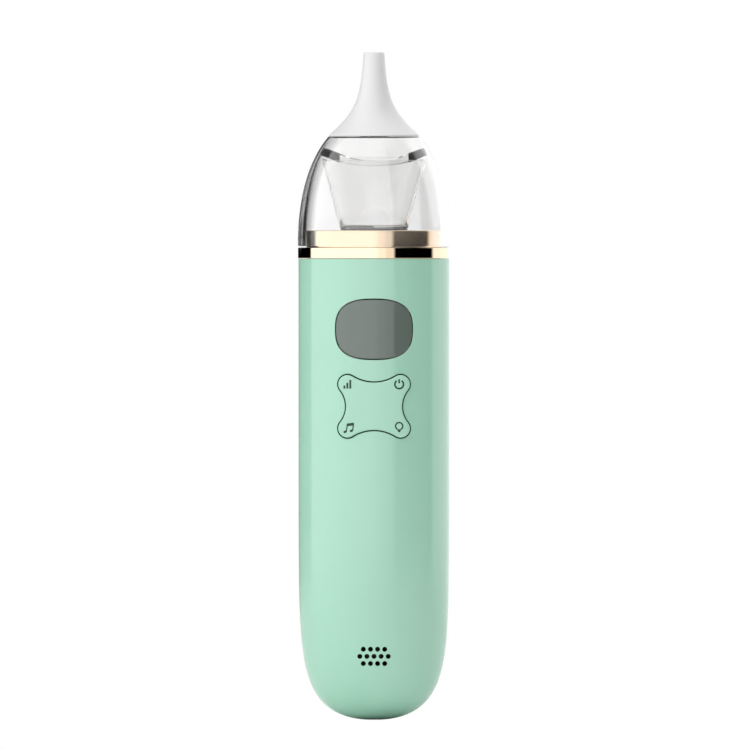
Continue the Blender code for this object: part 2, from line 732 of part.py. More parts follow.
def build_motor():
    axis = axis_empty("motor_axis", (0, PUMP_Y, 0))
    low, high = CAN_SPAN
    inner = CAN_RADIUS - CAN_WALL
    profile = [
        (inner, low),
        (inner, high - CAN_WALL),
        (3.0, high - CAN_WALL),
        (3.0, high),
        (CAN_RADIUS - 0.5, high),
        (CAN_RADIUS, high - 0.5),
        (CAN_RADIUS, low),
    ]
    turned("motor_can", profile, STEEL, 20, parent=axis)
    ring("motor_end_cap", 1.3, inner - GAP, low + 0.1, 61.0, WHITE_PLASTIC, 24, parent=axis)
    ring("shaft_bush", 1.3, 2.7, 82.0, 84.0, BRONZE, 16, parent=axis)
    profile = [(0, SHAFT_SPAN[1]), (SHAFT_RADIUS, SHAFT_SPAN[1]), (SHAFT_RADIUS, 78), (7.2, 78)]
    profile += [(7.2, 64.5), (2.4, 64.0), (2.4, 61.6), (SHAFT_RADIUS, 61.6)]
    profile += [(SHAFT_RADIUS, SHAFT_SPAN[0]), (0, SHAFT_SPAN[0])]
    turned("motor_rotor", profile, COPPER, 18, parent=axis)
    for name, side in (("left", -1), ("right", 1)):
        magnet = ring(f"{name}_magnet", 7.8, inner - GAP, 64, 79, FERRITE, 20, parent=axis)
        near, far = sorted((side * 3.0, side * 12.0))
        edge = box(f"{name}_magnet_edge", (near, PUMP_Y - 12, 60), (far, PUMP_Y + 12, 80), None)
        keep(magnet, edge)
    return axis


def build_crank(axis):
    hub = ring("crank_hub", 0, 3.6, *HUB_SPAN, WHITE_PLASTIC, 20, parent=axis)
    drill(hub, "shaft_hole", 0, 0, SHAFT_RADIUS + GAP, 80, 87.3, 12, axis)
    lean = axis_empty("wobble_axis", (0, PUMP_Y, WOBBLE_Z), -WOBBLE_LEAN)
    cut(hub, rod("pin_hole", (0, 0, -7.9), (0, 0, -3), 0.9, None, 12, parent=lean))
    rod("drive_pin", (0, 0, -7.6), (0, 0, -1.5), 0.6, STEEL, 10, parent=lean)
    profile = [(0, -1.1), (0.9, -1.1), (0.9, -4.8), (1.9, -4.8), (1.9, -1.7), (6.5, -1.7)]
    profile += [(6.5, -0.3), (0, -0.3)]
    wobble = turned("wobble_frame", profile[::-1], WHITE_PLASTIC, 24, parent=lean)
    for index, (x, y) in enumerate(on_circle(3, 6.6, 90)):
        drill(wobble, f"wobble_notch_{index}", x, y, 2.4, -3, 1, 12, lean)


def build_pump(axis):
    low, high = BASE_SPAN
    profile = [(4.4, low), (4.4, low + 1.2), (7.1, low + 1.2), (7.1, high)]
    profile += [(PUMP_RADIUS, high), (PUMP_RADIUS, low)]
    base = turned("pump_base", profile, BLACK_PLASTIC, 20, parent=axis)

    low, high = DIAPHRAGM_SPAN
    diaphragm = ring("diaphragm", 0, PUMP_RADIUS, low, high, GREY_RUBBER, 20, parent=axis)
    low, high = VALVE_SPAN
    valve = ring("valve_plate", 0, PUMP_RADIUS, low, high, WHITE_PLASTIC, 20, parent=axis)
    for index, (x, y) in enumerate(on_circle(3, CHAMBER_CIRCLE, 30)):
        bulge = rod(f"bulge_{index}", (x, y, 97.5), (x, y, 99.8), 2.0, None, 12, parent=axis)
        join(diaphragm, bulge)
        drill(valve, f"chamber_{index}", x, y, 2.4, low - 1, 100.4, 12, axis)
        drill(valve, f"port_{index}", x, y, 0.6, low - 1, high + 1, 8, axis)
    ring("valve_sheet", 0, 7.0, high + 0.3, high + 0.7, GREY_RUBBER, 16, parent=axis)

    low, high = HEAD_SPAN
    profile = [(0, low + 1.7), (7.4, low + 1.7), (7.4, low), (PUMP_RADIUS, low)]
    profile += [(PUMP_RADIUS, high - 0.6), (PUMP_RADIUS - 0.6, high), (0, high)]
    head = turned("pump_head", profile[::-1], BLACK_PLASTIC, 20, parent=axis)
    for name, side, top in (("inlet", -1, 110.2), ("outlet", 1, 109.4)):
        y = side * NOZZLE_OFFSET
        join(head, rod(f"{name}_nozzle", (0, y, high - 1), (0, y, top), 1.6, None, 12, parent=axis))
        drill(head, f"{name}_bore", 0, y, 0.9, low, top + 1, 10, axis)
    for index, (x, y) in enumerate(on_circle(3, BOLT_CIRCLE, 90), 1):
        drill(base, f"base_hole_{index}", x, y, PILOT_HOLE, 88, 98, 8, axis)
        for piece in (diaphragm, valve, head):
            drill(piece, f"{piece.name}_hole_{index}", x, y, PILOT_HOLE, 96, 108, 8, axis)
        screw(f"pump_screw_{index}", x, y, high + GAP, parent=axis, shank=(0.65, 17.0))


build_shells()
build_port_cover()
build_window()
build_keys()
build_tip()
build_dome()
build_splash_bar()
build_cup()
build_collar()
build_seat()
build_frame()
build_board()
build_battery()
build_charging()
build_speaker()
build_wires()
motor_axis = build_motor()
build_crank(motor_axis)
build_pump(motor_axis)
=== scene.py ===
"""The looks of the nasal aspirator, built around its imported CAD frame.

Sizes are in millimetres, in the frame's own axes: +Z up, the front facing -Y. They come from the CAD
nodes' boxes where a node gives them, and the helpers turn them into Blender's metres.
"""

import json
import math

import bmesh
import bpy
from mathutils import Matrix, Vector


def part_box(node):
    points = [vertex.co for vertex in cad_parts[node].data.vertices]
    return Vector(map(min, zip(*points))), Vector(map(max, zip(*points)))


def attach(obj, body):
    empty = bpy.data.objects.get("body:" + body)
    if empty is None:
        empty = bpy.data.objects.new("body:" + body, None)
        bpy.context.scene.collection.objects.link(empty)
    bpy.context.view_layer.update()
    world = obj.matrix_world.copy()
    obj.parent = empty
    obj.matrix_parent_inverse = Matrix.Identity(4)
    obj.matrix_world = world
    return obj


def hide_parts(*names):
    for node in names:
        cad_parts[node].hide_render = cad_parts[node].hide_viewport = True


MM = 0.001
STEPS = 192  # segments round a turned piece
SMALL_STEPS = 128  # and round a smaller one

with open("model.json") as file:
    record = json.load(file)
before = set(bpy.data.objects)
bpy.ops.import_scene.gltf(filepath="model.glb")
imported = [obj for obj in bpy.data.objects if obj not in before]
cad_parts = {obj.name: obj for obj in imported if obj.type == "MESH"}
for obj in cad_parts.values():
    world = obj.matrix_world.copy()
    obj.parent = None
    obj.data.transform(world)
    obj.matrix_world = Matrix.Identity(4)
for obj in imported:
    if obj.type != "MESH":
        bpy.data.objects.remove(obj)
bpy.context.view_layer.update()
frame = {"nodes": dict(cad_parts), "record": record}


def node_box(name):
    """A CAD node's lowest and highest corners in millimetres."""
    low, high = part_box(name)
    return low / MM, high / MM


# ---------------------------------------------------------------- sizes

SHELL_HIGH = node_box("rear_shell")[1]
BODY_RADIUS = SHELL_HIGH.y
BODY_TOP = SHELL_HIGH.z
BELLY_LENGTH = 8.52  # how fast the belly widens above the foot
BELLY_POWER = 0.434  # below 0.5 the foot is blunter than a ball
BELLY_END = 52.0  # above this height the housing is straight
FOOT_LIFT = 0.02  # how much rounder the very foot is, fading out over this height
FOOT_FADE = 1.5
WALL = 2.0
SEAM = 0.05  # half the gap between the two shells
EDGE = 0.12  # radius of the housing's moulded edges
BEAD_SIDES = 3
SIDE_STEP = 0.6  # the longest step of an outline that follows the housing's curve
SKIN_NEAR = 0.03  # how close to the surface, and how well aligned, the housing's own faces are
SKIN_ALIGNED = 0.97
SKIN_START = 0.3  # the foot's middle below this height keeps its own normals

WINDOW_LOW, WINDOW_HIGH = node_box("lcd_window")
WINDOW_HALF = ((WINDOW_HIGH.x - WINDOW_LOW.x) / 2, (WINDOW_HIGH.z - WINDOW_LOW.z) / 2)
WINDOW_Z = (WINDOW_LOW.z + WINDOW_HIGH.z) / 2
WINDOW_POWER = 2.7  # 2 is an ellipse, and more is squarer
WINDOW_POINTS = 120
WINDOW_GAP = 0.12
WINDOW_TRIM = -0.16  # how far the window's edge stands inside its drawn outline
WINDOW_THICK = 1.5
WINDOW_FILLET = 0.15
WINDOW_SINK = 0.05  # how far the window stands below the housing's front

KEY_LOW, KEY_HIGH = node_box("key_plate")
KEY_Z = (KEY_LOW.z + KEY_HIGH.z) / 2
LOBE_RADIUS = 2.6
LOBE = (KEY_HIGH.x - LOBE_RADIUS, KEY_HIGH.z - KEY_Z - LOBE_RADIUS)
WAIST = (7.39, 6.29)  # half the key plate's width and height between its lobes
KEY_FACE = 19.5  # how far forward the plate's middle stands
KEY_CURVE = 30.0  # the plate's face curves less than the housing
KEY_TRIM = -0.25  # how far the plate's edge stands inside its drawn outline
KEY_GAP = 0.17
KEY_CLEARANCE = 0.13  # what the tilting plate needs besides the drawn gap
KEY_THICK = 2.4
KEY_FILLET = 0.35

GRILLE_Z = 16.1
GRILLE_PITCH = 1.82
GRILLE_ROWS = (4, 5, 4)
GRILLE_HOLE = 0.62
HOLE_POINTS = 28
OUTLET_Z = 98.0
OUTLET_PITCH = 2.4
OUTLET_COUNT = 5

FLAP_LOW, FLAP_HIGH = node_box("port_cover")
FLAP_Z = (FLAP_LOW.z + FLAP_HIGH.z) / 2
FLAP_HALF = (FLAP_HIGH.x, FLAP_HIGH.z - FLAP_Z)
FLAP_CORNER = 1.6
FLAP_GAP = 0.15
FLAP_THICK = 1.1
FLAP_FILLET = 0.25
FLAP_SINK = 0.03  # how far the flap stands below the housing
FLAP_LEDGE = 0.35  # how much deeper than the flap its recess is
PORT_HALF = (4.9, 2.0)
PORT_CORNER = 1.9

COLLAR_LOW, COLLAR_HIGH = node_box("gold_collar")
FLANGE = (BODY_TOP + 0.04, 120.2)  # the collar's outside ring, low and high
FLANGE_RADIUS = COLLAR_HIGH.x
BOSS_RADIUS = 17.2
BOSS_LIFT = 0.2  # how far the boss stands above the CAD node's top
FLANGE_ROUGHNESS = 0.035
BOSS_ROUGHNESS = 0.13
SKIRT_RADIUS = 16.9
COLLAR_BORE = 13.4
SEAT_RADIUS = 15.0
SEAT_LEDGE = 121.0  # what the seat plate lies on
GROOVE = (17.8, 19.0)  # the gasket's groove in the flange
GROOVE_DEPTH = 0.8
GASKET_WIDTH = 0.8
VENT_COUNT = 8
VENT_CIRCLE = 11.2
VENT_RADIUS = 1.1
VENT_START = 20  # degrees

DOME_LOW, DOME_HIGH = node_box("dome_cover")
DOME_RADIUS = DOME_HIGH.x
RIM_Z = DOME_LOW.z
DOME_START = 120.5  # the dome's curve begins here, and its wall is straight below
DOME_HEIGHT = 33.4
DOME_POWER = 2.2
DOME_INNER = (17.6, 34.2)  # the inside's radius and height, over the same rim
SHOULDER_Z = 148.5  # the dome's flat top outside, and its ceiling
CEILING_Z = 148.0
STUB_RADIUS = 3.4
STUB_BORE = 1.6
STUB_TOP = DOME_HIGH.z

TIP_LOW, TIP_HIGH = node_box("nozzle_tip")
TIP_OUTLET = 2.7
TIP_BORE = 1.5
TIP_ROOM = 0.3  # between the tip's socket and the dome's stub
TIP_THROAT = 1.6  # the bore begins this far above the stub
TIP_BENDS = ((3.3, 157.6), (5.0, 154.6))  # what draws the tip's hollow flank in

CUP_LOW, CUP_HIGH = node_box("collection_cup")
CUP_RADII = (8.6, 13.2)  # at its foot and its top
CUP_WALL = 0.9
CUP_FLOOR = 0.5
CUP_RIM = 0.4
# The dark ring is painted shade, for the dark line that the clear cup's foot shows where it bends the
# light.
CUP_RING = (0.55, 0.05)  # how far inside the cup's foot the dark ring's two edges are
CUP_RING_HALF = 0.12

# The splash bar's top and bottom faces, as (distance from the middle, height)
BAR_TOP = ((0.0, 141.6), (3.0, 141.75), (6.0, 142.25), (8.8, 143.4), (12.75, 144.95), (14.0, 145.5))
BAR_BOTTOM = ((0.0, 140.2), (3.2, 140.35), (6.3, 140.7), (9.3, 141.45), (13.5, 143.45))
BAR_HALF = 3.2
BAR_CORNER = 0.25
# The bar's arms are clear on the real thing; their darkness is painted shade, for how the clear plastic
# bends the light there.
BAR_ARM = 8.8  # where the bar's clear middle ends and its dark arms begin
BAR_END = 13.15
BAR_LEAN = 0.33  # how far the end's slant reaches on each side of its middle
BAR_REACH = 13.33  # the furthest that a corner of the bar may stand from the axis


# ---------------------------------------------------------------- camera, floor and light

VIEW_SPAN = 190.98  # what the picture is across
CAMERA_AIM = (0.24, 87.77)  # its middle, sideways and up
CAMERA_AWAY = 800
FLOOR_HALF = 3.0  # metres


def mm(*values):
    return Vector(value * MM for value in values)


def look_from_front():
    data = bpy.data.cameras.new("camera")
    data.type = "ORTHO"
    data.ortho_scale = VIEW_SPAN * MM
    camera = bpy.data.objects.new("camera", data)
    camera.location = mm(CAMERA_AIM[0], -CAMERA_AWAY, CAMERA_AIM[1])
    camera.rotation_euler = (math.pi / 2, 0, 0)
    bpy.context.scene.collection.objects.link(camera)
    bpy.context.scene.camera = camera


class Graph:
    """Short ways to add nodes to a node tree."""

    def __init__(self, tree):
        self.tree = tree

    def add(self, kind, inputs=(), **settings):
        node = self.tree.nodes.new(kind)
        for key, value in settings.items():
            setattr(node, key, value)
        for socket, value in dict(inputs).items():
            self.set(node.inputs[socket], value)
        return node

    def set(self, socket, value):
        if isinstance(value, bpy.types.NodeSocket):
            self.tree.links.new(value, socket)
        else:
            socket.default_value = value

    def math(self, operation, *values):
        node = self.add("ShaderNodeMath", operation=operation)
        for socket, value in zip(node.inputs, values):
            self.set(socket, value)
        return node.outputs[0]

    def ramp(self, value, low, high):
        """0 below low, 1 above high, and smooth between."""
        inputs = {"Value": value, "From Min": low, "From Max": high}
        node = self.add("ShaderNodeMapRange", inputs, interpolation_type="SMOOTHSTEP")
        return node.outputs["Result"]

    def mix(self, share, first, second):
        return self.add("ShaderNodeMix", {"Factor": share, "A": first, "B": second}).outputs["Result"]

    def blend(self, share, first, second):
        node = self.add("ShaderNodeMix", data_type="RGBA")
        self.set(node.inputs["Factor"], share)
        self.set(node.inputs["A"], first)
        self.set(node.inputs["B"], second)
        return node.outputs["Result"]


# The studio round the object, by compass direction in degrees: 0 is where the camera stands, and
# positive is towards the picture's right. Each panel is (from, to, its two soft edges, its light).
PANELS = (
    (-112.0, 15.0, (2.5, 18.0), 1.8),
    (-5.0, 22.0, (5.0, 6.0), 1.4),
    (0.0, 31.0, (5.0, 2.5), 1.15),
    (101.0, 125.0, (4.0, 8.0), 1.45),
    (113.0, 200.0, (6.0, 5.0), 1.5),
)
RIM_PANEL = (-158.0, -150.0, (2.0, 2.0), 0.45)
RIM_START = (0.0005, 0.004)  # the rim light only stands above the horizon
BEHIND = (
    (-128.0, 19.0, (3.0, 5.0), 1.8),
    (19.0, 31.0, (5.0, 2.5), 1.15),
    (108.0, 116.0, (2.0, 2.0), 0.35),
    (126.0, 163.0, (2.0, 3.0), 1.1),
    (161.0, 180.0, (3.0, 3.0), 0.8),
    (175.0, 200.0, (1.5, 1.0), 1.02),
    (-200.0, -163.0, (1.0, 10.0), 1.02),
)
PANEL_TOP = 0.86  # above this height the overhead light takes over
OVERHEAD_LIGHT = 1.9
DULL_SHARE = 0.7  # what matt surfaces get of the panels, and an even fill besides
DULL_FILL = 0.15


def add_panels(graph, turn, panels):
    total = 0.0
    for low, high, edges, light in panels:
        low, high = math.radians(low), math.radians(high)
        soft = [math.radians(edge) for edge in edges]
        start = graph.ramp(turn, low - soft[0], low + soft[0])
        end = graph.ramp(turn, high + soft[1], high - soft[1])
        panel = graph.math("MULTIPLY", graph.math("MULTIPLY", start, end), light)
        total = graph.math("MAXIMUM", total, panel)
    return total


def light_studio():
    world = bpy.data.worlds.new("studio")
    world.use_nodes = True
    bpy.context.scene.world = world
    graph = Graph(world.node_tree)
    world.node_tree.nodes.clear()
    place = graph.add("ShaderNodeTexCoord").outputs["Generated"]
    parts = graph.add("ShaderNodeSeparateXYZ", {"Vector": place}).outputs
    turn = graph.math("ARCTAN2", parts["X"], graph.math("MULTIPLY", parts["Y"], -1.0))
    ray = graph.add("ShaderNodeLightPath").outputs
    straight = graph.math("LESS_THAN", ray["Glossy Depth"], 0.5)
    clear = graph.math("MULTIPLY", ray["Is Transmission Ray"], straight)
    rise = graph.ramp(parts["Z"], *RIM_START)
    rim = graph.math("MULTIPLY", add_panels(graph, turn, [RIM_PANEL]), rise)
    total = graph.math("MAXIMUM", add_panels(graph, turn, PANELS), rim)
    total = graph.mix(clear, total, add_panels(graph, turn, BEHIND))
    high = graph.ramp(parts["Z"], PANEL_TOP - 0.08, PANEL_TOP + 0.08)
    total = graph.mix(high, total, OVERHEAD_LIGHT)
    dull = graph.math("MULTIPLY_ADD", total, DULL_SHARE, DULL_FILL)
    total = graph.mix(ray["Is Diffuse Ray"], total, dull)
    inputs = {"Color": (1, 1, 1, 1), "Strength": graph.mix(ray["Is Camera Ray"], total, 1.0)}
    light = graph.add("ShaderNodeBackground", inputs)
    out = graph.add("ShaderNodeOutputWorld")
    graph.tree.links.new(light.outputs[0], out.inputs["Surface"])
    bpy.context.scene.view_settings.view_transform = "Standard"


def lay_floor():
    shape = bmesh.new()
    bmesh.ops.create_grid(shape, x_segments=1, y_segments=1, size=FLOOR_HALF)
    mesh = bpy.data.meshes.new("floor")
    shape.to_mesh(mesh)
    shape.free()
    floor = bpy.data.objects.new("floor", mesh)
    floor.location = (0, 0, -0.0001)
    bpy.context.scene.collection.objects.link(floor)
    floor.data.materials.append(finish("floor_paint", (250, 250, 249), 0.6, 0.004))


# ---------------------------------------------------------------- materials


def linear(channel):
    level = channel / 255
    return level / 12.92 if level <= 0.04045 else ((level + 0.055) / 1.055) ** 2.4


def shade(colour, factor):
    return (*(min(1.0, linear(c) * factor) for c in colour), 1.0)


CLOUD_SCALE = 90.0  # how fine the slow colour and gloss changes are
GRAIN_DEPTH = 0.0001  # metres


def finish(name, colour, roughness, spread=0.02, bump=0.0, bump_scale=4000.0, **sockets):
    """A Principled material with slow colour and gloss changes, and a fine moulded grain."""
    made = bpy.data.materials.new(name)
    made.use_nodes = True
    graph = Graph(made.node_tree)
    shader = made.node_tree.nodes["Principled BSDF"]
    place = graph.add("ShaderNodeTexCoord").outputs["Object"]
    cloud = graph.add("ShaderNodeTexNoise", {"Vector": place, "Scale": CLOUD_SCALE, "Detail": 4.0})
    share = graph.ramp(cloud.outputs["Fac"], 0.3, 0.7)
    tone = graph.blend(share, shade(colour, 1 - spread), shade(colour, 1 + spread))
    graph.set(shader.inputs["Base Color"], tone)
    gloss = graph.add("ShaderNodeMapRange", {"Value": cloud.outputs["Fac"]})
    gloss.inputs["To Min"].default_value = roughness * 0.9
    gloss.inputs["To Max"].default_value = roughness * 1.1
    graph.set(shader.inputs["Roughness"], gloss.outputs["Result"])
    if bump:
        grain = graph.add("ShaderNodeTexNoise", {"Vector": place, "Scale": bump_scale, "Detail": 2.0})
        inputs = {"Height": grain.outputs["Fac"], "Strength": bump, "Distance": GRAIN_DEPTH}
        ridge = graph.add("ShaderNodeBump", inputs)
        graph.set(shader.inputs["Normal"], ridge.outputs["Normal"])
    for key, value in sockets.items():
        shader.inputs[key.replace("_", " ")].default_value = value
    return made


def make_materials():
    gloss = {"Coat_Weight": 0.37, "Coat_Roughness": 0.12, "Coat_IOR": 2.2, "Specular_IOR_Level": 0.1}
    glass = {"Coat_Weight": 1.0, "Coat_Roughness": 0.04, "Specular_IOR_Level": 0.3}
    looks = {
        "mint": finish("mint_plastic", (157, 204, 182), 0.3, 0.01, bump=0.02, **gloss),
        "gold": finish("champagne_gold", (233, 209, 180), 0.035, 0.01, Metallic=1.0),
        "clear": finish("clear_plastic", (250, 250, 250), 0.006, 0.004, IOR=1.49),
        "thin": finish("thin_clear_plastic", (250, 250, 250), 0.006, 0.004, IOR=1.4),
        "faint": finish("faint_clear_plastic", (250, 250, 250), 0.006, 0.004, IOR=1.1),
        # A dark, nearly opaque plastic that paints shade: it darkens the splash bar's arms and a ring at
        # the cup's foot, which are clear plastic that only looks dark by how it bends the light.
        "smoked": finish("painted_shade_dark_plastic", (24, 25, 25), 0.5, 0.05, Specular_IOR_Level=0.08),
        "silicone": finish("white_silicone", (213, 213, 213), 0.42, 0.006, bump=0.04),
        "frosted": finish("frosted_plastic", (232, 234, 232), 0.4, 0.01, bump=0.05),
        "window": finish("smoked_window", (90, 101, 95), 0.3, 0.01, **glass),
        "rubber": finish("grey_rubber", (58, 60, 60), 0.65, 0.06, bump=0.1),
        "icon": finish("icon_print", (5, 54, 37), 0.5, 0.04),
        "white": finish("white_plastic", (226, 226, 222), 0.42, 0.02, bump=0.05),
        "black": finish("black_plastic", (26, 27, 28), 0.45, 0.08, bump=0.1),
        "steel": finish("bright_steel", (178, 180, 184), 0.28, 0.05, bump=0.05, Metallic=1.0),
        "ferrite": finish("ferrite", (46, 46, 50), 0.6, 0.12, bump=0.2),
        "copper": finish("wound_copper", (196, 120, 74), 0.35, 0.1, bump=0.2, Metallic=1.0),
        "bronze": finish("sintered_bronze", (158, 120, 70), 0.5, 0.1, bump=0.2, Metallic=1.0),
        "board": finish("circuit_board", (24, 92, 58), 0.45, 0.1, bump=0.1),
        "wrap": finish("battery_wrap", (46, 92, 150), 0.3, 0.03),
        "foam": finish("filter_foam", (214, 214, 206), 0.95, 0.08, bump=0.8, bump_scale=1800.0),
        "lamp": finish("lamp_lens", (250, 246, 222), 0.25, 0.02),
        "cable": finish("cable_jacket", (60, 60, 62), 0.5, 0.06, bump=0.1),
    }
    for name, share in (("clear", 0.98), ("thin", 0.98), ("faint", 0.98), ("smoked", 0.08)):
        shader = looks[name].node_tree.nodes["Principled BSDF"]
        shader.inputs["Transmission Weight"].default_value = share
    graph = Graph(looks["gold"].node_tree)
    place = graph.add("ShaderNodeTexCoord").outputs["Object"]
    level = graph.add("ShaderNodeSeparateXYZ", {"Vector": place}).outputs["Z"]
    share = graph.ramp(level, FLANGE[1] * MM, (FLANGE[1] + 0.1) * MM)
    shader = graph.tree.nodes["Principled BSDF"]
    graph.set(shader.inputs["Roughness"], graph.mix(share, FLANGE_ROUGHNESS, BOSS_ROUGHNESS))
    skin = looks["silicone"].node_tree.nodes["Principled BSDF"]
    skin.inputs["Subsurface Weight"].default_value = 0.25
    skin.inputs["Subsurface Radius"].default_value = (0.002, 0.002, 0.002)
    skin.inputs["Subsurface Scale"].default_value = 1.0
    return looks


SLOT_LOOKS = {
    "mint_plastic": "mint",
    "gold_trim": "gold",
    "clear_plastic": "clear",
    "white_silicone": "silicone",
    "frosted_plastic": "frosted",
    "smoked_window": "window",
    "grey_rubber": "rubber",
    "white_plastic": "white",
    "black_plastic": "black",
    "steel": "steel",
    "ferrite": "ferrite",
    "copper": "copper",
    "bronze": "bronze",
    "circuit_board": "board",
    "battery_wrap": "wrap",
    "filter_foam": "foam",
    "led_lens": "lamp",
    "cable_jacket": "cable",
}


def paint_cad_nodes(looks):
    """Every CAD node that stays gets the made material of its slot."""
    for part in frame["record"]["subparts"]:
        node = frame["nodes"][part["node"]]
        node.data.materials.clear()
        node.data.materials.append(looks[SLOT_LOOKS[part["material_slot"]]])
        node.data.shade_smooth()
        node.data.set_sharp_from_angle(angle=math.radians(35))


# ---------------------------------------------------------------- shapes


def rounded(corners, closed=True, segments=5):
    """A profile from its corners, each (radius, height) or, with a fillet, (radius, height, fillet)."""
    count = len(corners)
    path = []
    for index, corner in enumerate(corners):
        point = Vector(corner[:2])
        ends = index in (0, count - 1)
        if len(corner) < 3 or (ends and not closed):
            path.append(point)
            continue
        before = Vector(corners[index - 1][:2]) - point
        after = Vector(corners[(index + 1) % count][:2]) - point
        half = before.angle(after) / 2
        reach = min(corner[2] / math.tan(half), 0.49 * before.length, 0.49 * after.length)
        centre = point + (before.normalized() + after.normalized()).normalized() * reach / math.cos(half)
        start = point + before.normalized() * reach - centre
        sweep = start.angle_signed(point + after.normalized() * reach - centre)
        for step in range(segments + 1):
            path.append(centre + Matrix.Rotation(-sweep * step / segments, 2) @ start)
    return [(point.x, point.y) for point in path]


def smooth(mesh, sharp=35.0):
    """Smooth shading in which each corner takes the normal of the largest faces round it."""
    mesh.shade_smooth()
    mesh.set_sharp_from_angle(angle=math.radians(sharp))
    shape = bmesh.new()
    shape.from_mesh(mesh)
    shape.verts.ensure_lookup_table()
    normals = [None] * len(mesh.loops)
    for vert in shape.verts:
        left = set(vert.link_faces)
        while left:
            fan = {left.pop()}
            grown = list(fan)
            while grown:
                for edge in grown.pop().edges:
                    if vert in edge.verts and edge.smooth:
                        for face in edge.link_faces:
                            if face in left:
                                left.discard(face)
                                fan.add(face)
                                grown.append(face)
            total = sum((face.normal * face.calc_area() for face in fan), Vector())
            for loop in vert.link_loops:
                if loop.face in fan:
                    normals[loop.index] = total.normalized()
    shape.free()
    mesh.normals_split_custom_set(normals)


def new_piece(name, shape, look, sharp=35.0):
    bmesh.ops.recalc_face_normals(shape, faces=shape.faces)
    mesh = bpy.data.meshes.new(name)
    shape.to_mesh(mesh)
    shape.free()
    if look:
        smooth(mesh, sharp)
        mesh.materials.append(look)
    piece = bpy.data.objects.new(name, mesh)
    bpy.context.scene.collection.objects.link(piece)
    return piece


def join_rows(shape, upper, lower):
    """Faces between two rings of points. A ring of one point is a pole."""
    count = max(len(upper), len(lower))
    for index in range(count):
        after = (index + 1) % count
        loop = []
        for row, spot in ((upper, index), (upper, after), (lower, after), (lower, index)):
            vert = row[spot % len(row)]
            if vert not in loop:
                loop.append(vert)
        if len(loop) > 2:
            shape.faces.new(loop)


def lathe(name, path, look, steps=STEPS, sharp=35.0):
    """A turned piece. A path that begins and ends on the axis is solid, and any other is a ring."""
    shape = bmesh.new()
    rows = []
    for radius, height in path:
        if radius < 1e-4:
            rows.append([shape.verts.new(mm(0, 0, height))])
            continue
        row = []
        for index in range(steps):
            angle = math.tau * index / steps
            row.append(shape.verts.new(mm(radius * math.cos(angle), radius * math.sin(angle), height)))
        rows.append(row)
    if path[0][0] >= 1e-4:
        rows.append(rows[0])
    for upper, lower in zip(rows, rows[1:]):
        join_rows(shape, upper, lower)
    return new_piece(name, shape, look, sharp)


def bead(points, radius, cyclic):
    """A round bead along a path, which makes a moulded edge."""
    curve = bpy.data.curves.new("bead", "CURVE")
    curve.dimensions = "3D"
    curve.bevel_depth = radius * MM
    curve.bevel_resolution = BEAD_SIDES
    curve.use_fill_caps = True
    spline = curve.splines.new("POLY")
    spline.points.add(len(points) - 1)
    spline.use_cyclic_u = cyclic
    for knot, point in zip(spline.points, points):
        knot.co = (*mm(*point), 1)
    drawn = bpy.data.objects.new("bead", curve)
    bpy.context.scene.collection.objects.link(drawn)
    graph = bpy.context.evaluated_depsgraph_get()
    mesh = bpy.data.meshes.new_from_object(drawn.evaluated_get(graph))
    bpy.data.objects.remove(drawn)
    return mesh


def boolean(piece, tools, operation="DIFFERENCE"):
    """Applies the cutters to the piece and removes them."""
    for tool in tools:
        cutter = piece.modifiers.new(tool.name, "BOOLEAN")
        cutter.object = tool
        cutter.operation = operation
    graph = bpy.context.evaluated_depsgraph_get()
    cut = bpy.data.meshes.new_from_object(piece.evaluated_get(graph))
    piece.modifiers.clear()
    piece.data = cut
    for tool in tools:
        bpy.data.objects.remove(tool)


def body_radius(z, inset=0.0):
    height = z - inset
    if not inset:
        height += FOOT_LIFT * math.exp(-max(z, 0.0) / FOOT_FADE)
    share = 1 - math.exp(-max(height, 0.0) / BELLY_LENGTH)
    return (BODY_RADIUS - inset) * share**BELLY_POWER


def skin_point(x, z, depth=0.0, side=-1):
    """The point that far below the housing's surface, seen at (x, z) from the front or the back."""
    radius = body_radius(z) - depth
    return Vector((x, side * math.sqrt(max(radius**2 - x**2, 0.0)), z))


def skin_normal(point):
    """The housing's own surface normal at a point on it."""
    slope = (body_radius(point.z + 0.05) - body_radius(max(point.z - 0.05, 0.0))) / 0.1
    flat = Vector((point.x, point.y, 0)).normalized()
    return (flat - Vector((0, 0, slope))).normalized()


# ---------------------------------------------------------------- outlines on the housing


def arc(centre, radius, start, end, count):
    for index in range(count):
        angle = start + (end - start) * index / (count - 1)
        yield centre[0] + radius * math.cos(angle), centre[1] + radius * math.sin(angle)


def squircle(grow):
    """The window's outline, grown by a distance."""
    points = []
    for index in range(WINDOW_POINTS):
        angle = math.tau * index / WINDOW_POINTS
        pair = []
        for half, part in zip(WINDOW_HALF, (math.cos(angle), math.sin(angle))):
            pair.append((half + grow) * math.copysign(abs(part) ** (2 / WINDOW_POWER), part))
        points.append(tuple(pair))
    return points


def waist_radius(across, past):
    """The radius of the hollow arc that touches two lobes, which stand that far across and past it."""
    return (across**2 + past**2 - LOBE_RADIUS**2) / (2 * (LOBE_RADIUS - past))


